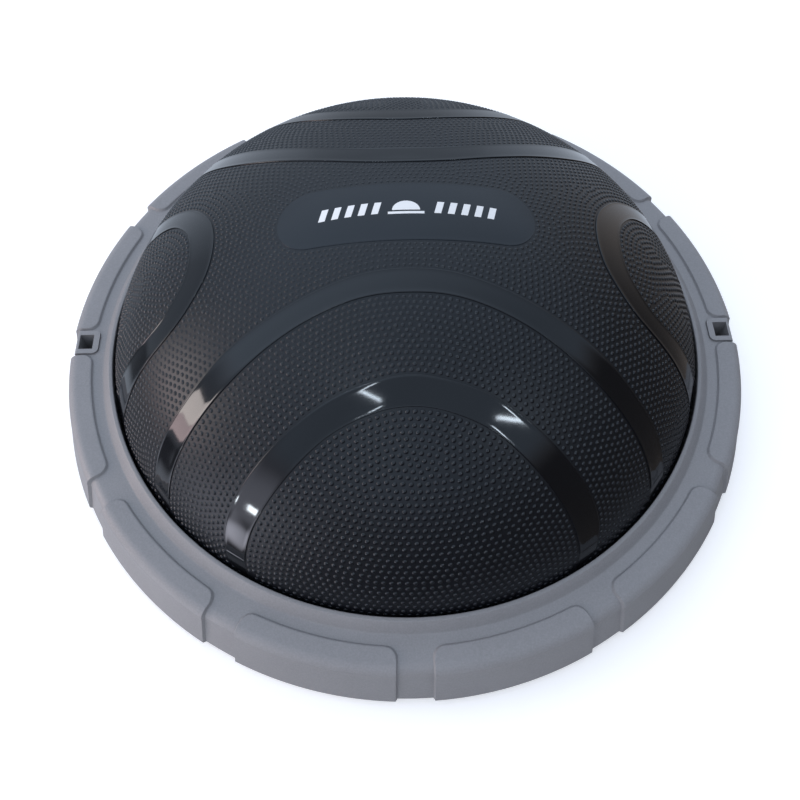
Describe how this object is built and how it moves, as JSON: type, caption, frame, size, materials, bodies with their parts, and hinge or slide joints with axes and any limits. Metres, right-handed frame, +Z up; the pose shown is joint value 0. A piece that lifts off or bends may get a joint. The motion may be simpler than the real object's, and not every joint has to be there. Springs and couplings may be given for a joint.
{
  "type": "balance dome trainer",
  "caption": "Inflated studded rubber half-dome clamped in a round moulded platform ring, with square band anchors, hand grips and rubber feet.",
  "frame": {"origin": "on the floor, under the middle of the round platform and the dome's apex", "axes": "+Z up towards the dome's apex; the two square band anchors lie on the X axis and the two hand grips on the Y axis"},
  "size_m": [0.5994, 0.5994, 0.2153],
  "materials": {
    "ring_grey": "fine moulded texture, mid grey",
    "platform_black": "moulded, fine grain, charcoal",
    "dome_pvc": "studded PVC skin with smooth glossy bands",
    "bladder_pvc": "smooth PVC sheet",
    "valve_rubber": "moulded rubber",
    "plug_plastic": "glossy, off-white",
    "zinc_steel": "zinc plated",
    "foot_rubber": "matte moulded rubber"
  },
  "bodies": {
    "platform": {"base_platform": "platform_black", "rim_ring": "ring_grey", "band_anchor_left": "ring_grey", "band_anchor_right": "ring_grey", "bladder_floor": "bladder_pvc", "valve_seat": "valve_rubber", "clamp_screws": "zinc_steel", "anchor_screws": "zinc_steel", "foot_01": "foot_rubber", "foot_02": "foot_rubber", "foot_03": "foot_rubber", "foot_04": "foot_rubber", "foot_05": "foot_rubber", "foot_06": "foot_rubber", "foot_07": "foot_rubber", "foot_08": "foot_rubber", "foot_09": "foot_rubber", "foot_10": "foot_rubber", "foot_11": "foot_rubber", "foot_12": "foot_rubber"},
    "dome": {"dome_shell": "dome_pvc"},
    "valve_plug": {"valve_plug": "plug_plastic"}
  },
  "joints": [
    {"name": "dome_give", "type": "slide", "parent": "platform", "child": "dome", "axis": [0, 0, -1], "range_m": [0, 0.05], "stiffness_N_per_m": 15000, "deforming": ["dome_shell"]},
    {"name": "plug_pull", "type": "slide", "parent": "platform", "child": "valve_plug", "axis": [0, 0, -1], "range_m": [0, 0.026]}
  ]
}
